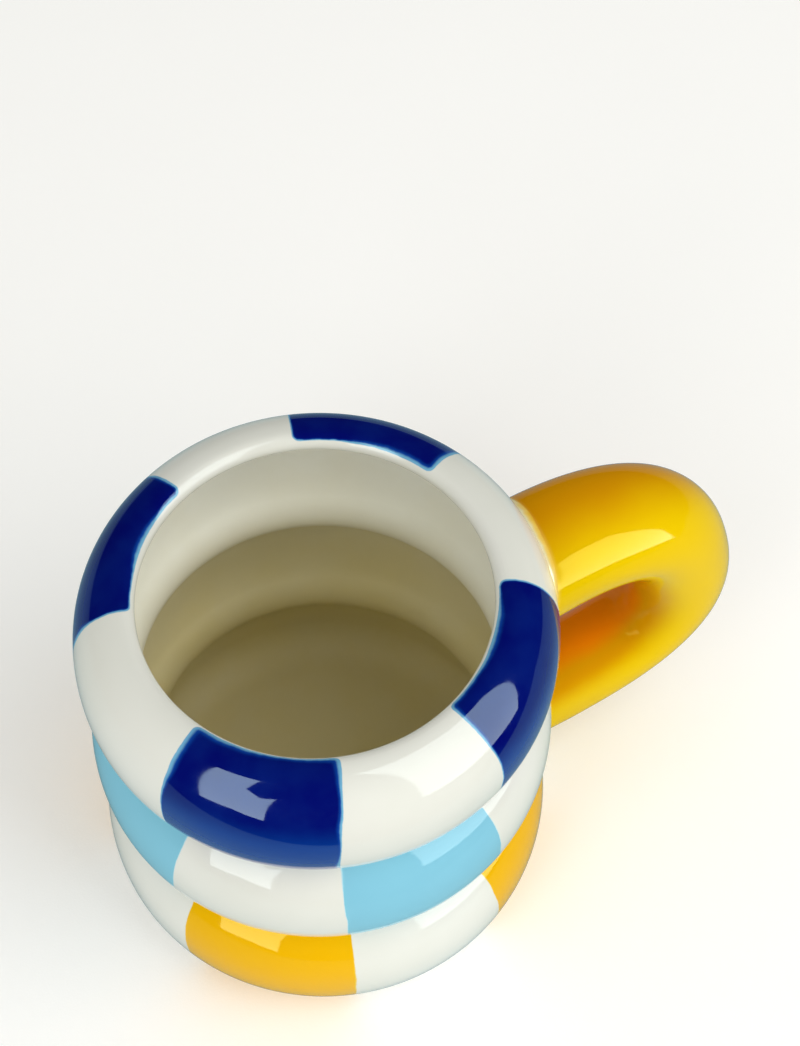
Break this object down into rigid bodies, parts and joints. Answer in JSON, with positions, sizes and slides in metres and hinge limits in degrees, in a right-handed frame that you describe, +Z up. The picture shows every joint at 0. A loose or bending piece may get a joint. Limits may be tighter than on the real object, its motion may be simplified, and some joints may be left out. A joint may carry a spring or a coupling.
{
  "type": "ceramic mug",
  "caption": "Glazed ceramic mug of stacked bulging rings with a painted checker pattern and a fat looped handle.",
  "frame": {"origin": "centre of the flat underside, on the axis of the cup", "axes": "+Z up along the cup's axis, +X from the cup towards the handle"},
  "size_m": [0.1356, 0.09, 0.0932],
  "materials": {
    "white_glaze": "glossy transparent glaze over a creamy white body, hand painted in cobalt blue, sky blue and yellow patches, with a bare wiped underside",
    "yellow_glaze": "glossy saturated yellow glaze",
    "joint_glaze": "glossy yellow glaze that thins to cream over the slip"
  },
  "bodies": {
    "root": {"cup_body": "white_glaze", "handle": "yellow_glaze", "upper_slip_joint": "joint_glaze", "lower_slip_joint": "joint_glaze"}
  },
  "joints": []
}
